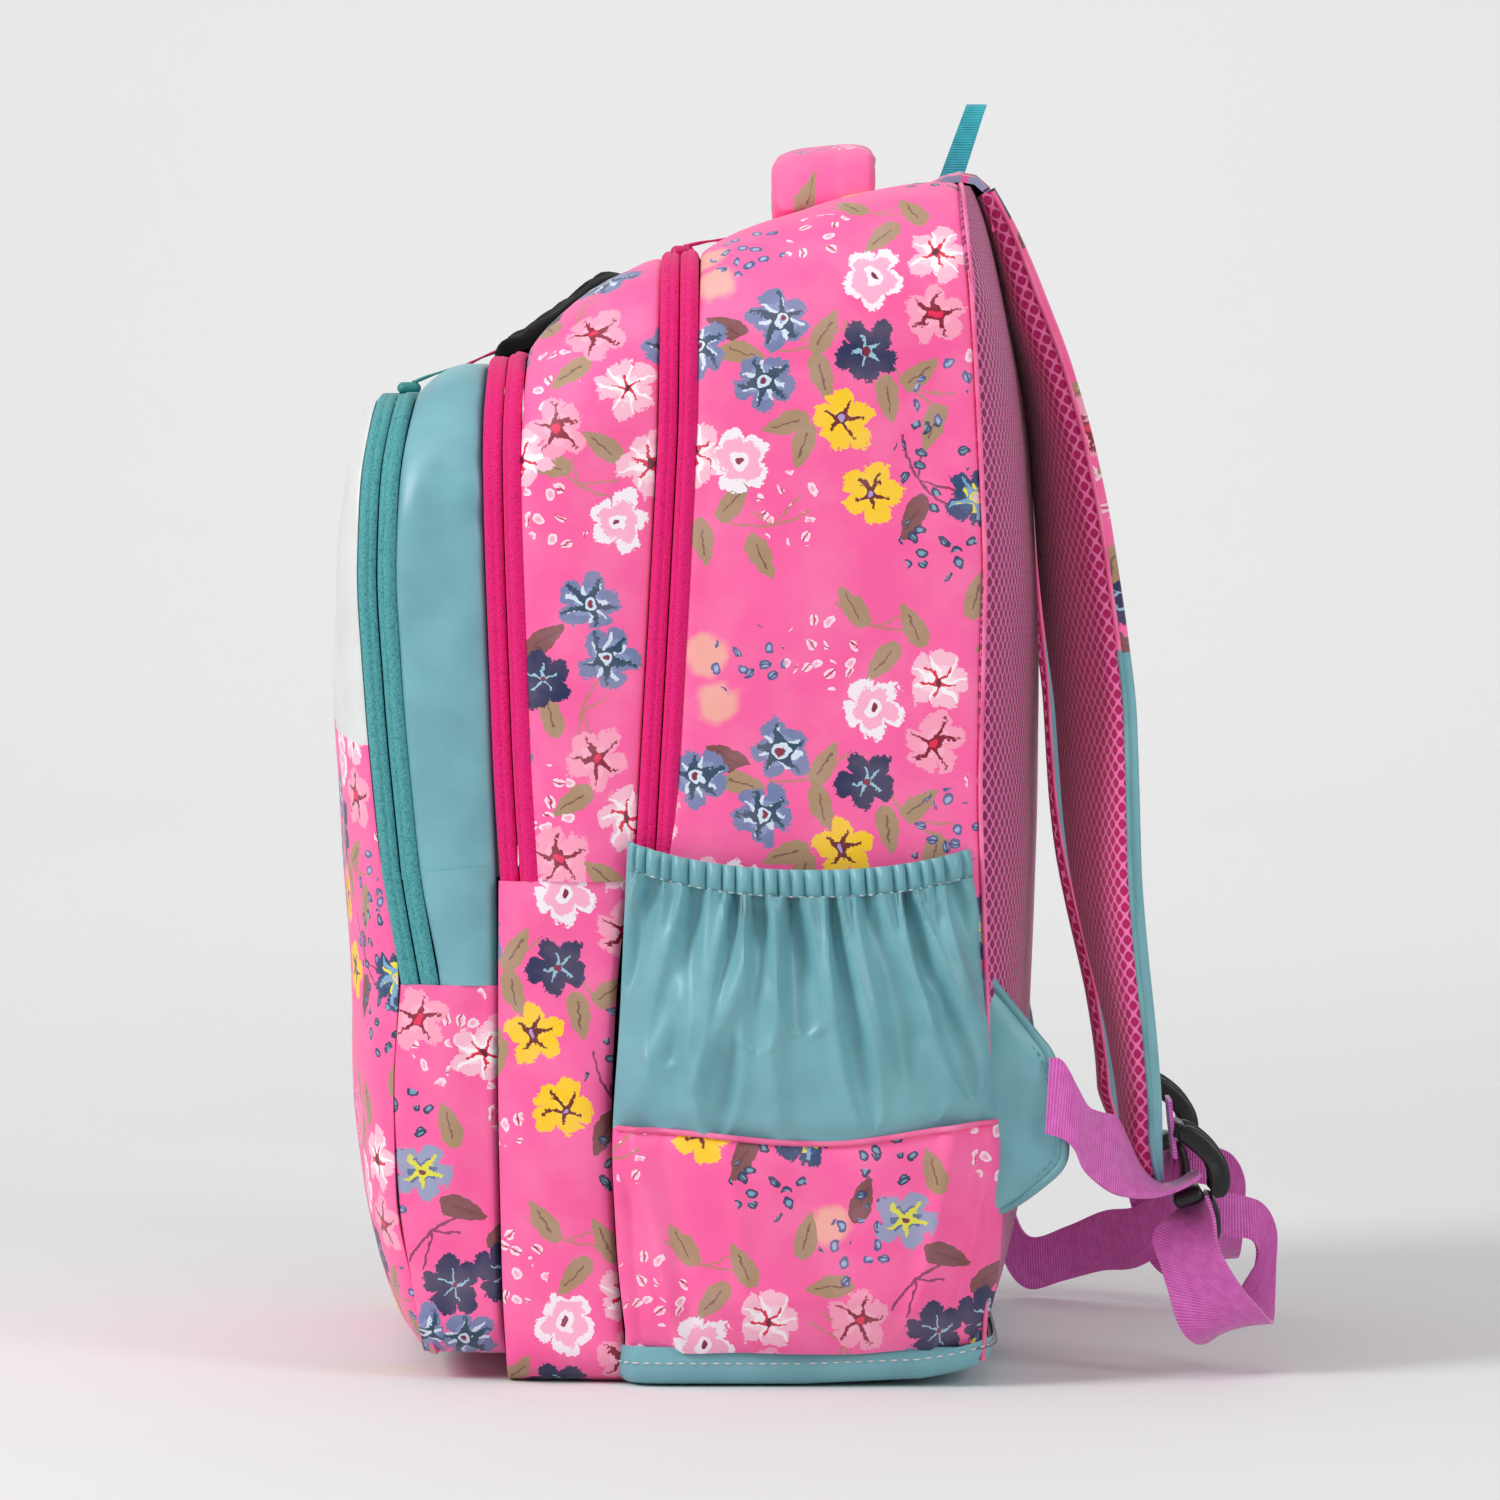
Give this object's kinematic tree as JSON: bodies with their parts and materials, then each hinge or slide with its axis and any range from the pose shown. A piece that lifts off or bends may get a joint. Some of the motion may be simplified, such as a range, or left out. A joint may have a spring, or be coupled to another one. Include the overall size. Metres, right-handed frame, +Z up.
{
  "type": "school backpack",
  "caption": "Child's school backpack with zipped compartments, gathered side pockets, padded mesh back and straps, grab handle and hanging loop, in a pink flower print with teal trim.",
  "frame": {"origin": "on the underside the bag stands on, in the middle of its width and between its front and back edges", "axes": "+Z up, the front pocket faces -Y, the padded back and the shoulder straps face +Y, +X is across the bag to the wearer's right"},
  "size_m": [0.3488, 0.3415, 0.4635],
  "materials": {
    "printed_fabric": "satin-faced polyester with an all-over flower print",
    "teal_fabric": "plain dusty-teal satin-faced polyester",
    "white_fabric": "plain pale grey satin",
    "back_mesh": "padded three-dimensional air mesh",
    "strap_mesh": "padded three-dimensional air mesh",
    "lining": "thin grey woven lining over foam",
    "stiffener": "flexible white sheet",
    "dark_teal_fabric": "dark teal woven binding",
    "black_rubber": "blank soft moulded patch",
    "ribbon": "satin ribbon",
    "magenta_zip": "coil zip, dyed to match",
    "teal_zip": "coil zip, dyed to match",
    "slider_metal": "dark painted die-cast zip slider",
    "webbing": "ribbed 25 mm webbing with a light sheen",
    "black_plastic": "moulded black plastic"
  },
  "bodies": {
    "bag": {"main_shell": "printed_fabric", "base_panel": "teal_fabric", "back_panel": "back_mesh", "back_stiffener": "stiffener", "laptop_sleeve": "lining", "second_foot": "printed_fabric", "pocket_foot": "printed_fabric", "face_foot": "printed_fabric", "second_fold": "printed_fabric", "pocket_fold": "teal_fabric", "face_fold": "printed_fabric", "main_zip_rear": "magenta_zip", "handle_base": "dark_teal_fabric", "strap_yoke": "dark_teal_fabric", "side_pocket_foot_right": "printed_fabric", "side_pocket_foot_left": "printed_fabric", "wing_right": "teal_fabric", "wing_left": "teal_fabric", "lower_webbing_right": "webbing", "lower_webbing_left": "webbing"},
    "second_section": {"second_shell": "printed_fabric", "divider_panel": "lining", "main_zip_front": "magenta_zip", "second_zip_rear": "magenta_zip", "badge": "black_rubber"},
    "pocket_section": {"pocket_gusset": "teal_fabric", "second_zip_front": "magenta_zip", "pocket_zip_rear": "teal_zip"},
    "face_section": {"face_upper_panel": "white_fabric", "face_lower_panel": "printed_fabric", "pocket_zip_front": "teal_zip"},
    "main_slider": {"main_zip_slider": "slider_metal"},
    "main_pull": {"main_zip_pull": "slider_metal"},
    "second_slider": {"second_zip_slider": "slider_metal"},
    "second_pull": {"second_zip_pull": "slider_metal"},
    "pocket_slider": {"pocket_zip_slider": "slider_metal"},
    "pocket_pull": {"pocket_zip_pull": "slider_metal"},
    "handle": {"grab_handle": "printed_fabric"},
    "ribbon_loop": {"hang_loop": "ribbon"},
    "strap_right": {"strap_pad_right": "strap_mesh", "strap_print_right": "printed_fabric", "strap_plain_right": "teal_fabric", "tip_webbing_right": "webbing"},
    "buckle_right": {"buckle_right": "black_plastic", "tail_loop_right": "webbing"},
    "side_pocket_right": {"side_pocket_wall_right": "teal_fabric", "side_pocket_casing_right": "teal_fabric"},
    "strap_left": {"strap_pad_left": "strap_mesh", "strap_print_left": "printed_fabric", "strap_plain_left": "teal_fabric", "tip_webbing_left": "webbing"},
    "buckle_left": {"buckle_left": "black_plastic", "tail_loop_left": "webbing"},
    "side_pocket_left": {"side_pocket_wall_left": "teal_fabric", "side_pocket_casing_left": "teal_fabric"}
  },
  "joints": [
    {"name": "main_opening", "type": "hinge", "parent": "bag", "child": "second_section", "pos_m": [0, -0.028, 0.183], "axis": [1, 0, 0], "range_deg": [0, 15], "deforming": ["second_fold"]},
    {"name": "second_opening", "type": "hinge", "parent": "second_section", "child": "pocket_section", "pos_m": [0, -0.066, 0.183], "axis": [1, 0, 0], "range_deg": [0, 15], "deforming": ["pocket_fold"]},
    {"name": "pocket_opening", "type": "hinge", "parent": "pocket_section", "child": "face_section", "pos_m": [0, -0.109, 0.183], "axis": [1, 0, 0], "range_deg": [0, 20], "deforming": ["face_fold"]},
    {"name": "main_slider_run", "type": "slide", "parent": "bag", "child": "main_slider", "axis": [1, 0, 0], "range_m": [-0.05, 0.05]},
    {"name": "main_pull_flip", "type": "hinge", "parent": "main_slider", "child": "main_pull", "pos_m": [-0.02, -0.0075, 0.4176], "axis": [1, 0, 0], "range_deg": [0, 120]},
    {"name": "second_slider_run", "type": "slide", "parent": "second_section", "child": "second_slider", "axis": [1, 0, 0], "range_m": [-0.025, 0.05]},
    {"name": "second_pull_flip", "type": "hinge", "parent": "second_slider", "child": "second_pull", "pos_m": [0.024, -0.071, 0.3796], "axis": [-1, 0, 0], "range_deg": [0, 120]},
    {"name": "pocket_slider_run", "type": "slide", "parent": "pocket_section", "child": "pocket_slider", "axis": [1, 0, 0], "range_m": [-0.05, 0.025]},
    {"name": "pocket_pull_flip", "type": "hinge", "parent": "pocket_slider", "child": "pocket_pull", "pos_m": [-0.024, -0.112, 0.3656], "axis": [1, 0, 0], "range_deg": [0, 120]},
    {"name": "handle_lift", "type": "slide", "parent": "bag", "child": "handle", "axis": [0, 0, 1], "range_m": [0, 0.01]},
    {"name": "ribbon_flop", "type": "hinge", "parent": "bag", "child": "ribbon_loop", "pos_m": [0, 0.0976, 0.441], "axis": [1, 0, 0], "range_deg": [-70, 0], "stiffness_Nm_per_rad": 0.002},
    {"name": "strap_swing_right", "type": "hinge", "parent": "bag", "child": "strap_right", "pos_m": [0.058, 0.1055, 0.439], "axis": [1, 0, 0], "range_deg": [0, 30]},
    {"name": "buckle_tilt_right", "type": "hinge", "parent": "strap_right", "child": "buckle_right", "pos_m": [0.108, 0.1765, 0.092], "axis": [1, 0, 0], "range_deg": [0, 40]},
    {"name": "side_pocket_stretch_right", "type": "hinge", "parent": "bag", "child": "side_pocket_right", "pos_m": [0.1746, 0.036, 0.0926], "axis": [0, 1, 0], "range_deg": [0, 10], "stiffness_Nm_per_rad": 1.5},
    {"name": "strap_swing_left", "type": "hinge", "parent": "bag", "child": "strap_left", "pos_m": [-0.058, 0.1055, 0.439], "axis": [1, 0, 0], "range_deg": [0, 30]},
    {"name": "buckle_tilt_left", "type": "hinge", "parent": "strap_left", "child": "buckle_left", "pos_m": [-0.108, 0.1765, 0.092], "axis": [1, 0, 0], "range_deg": [0, 40]},
    {"name": "side_pocket_stretch_left", "type": "hinge", "parent": "bag", "child": "side_pocket_left", "pos_m": [-0.1746, 0.036, 0.0926], "axis": [0, -1, 0], "range_deg": [0, 10], "stiffness_Nm_per_rad": 1.5}
  ]
}
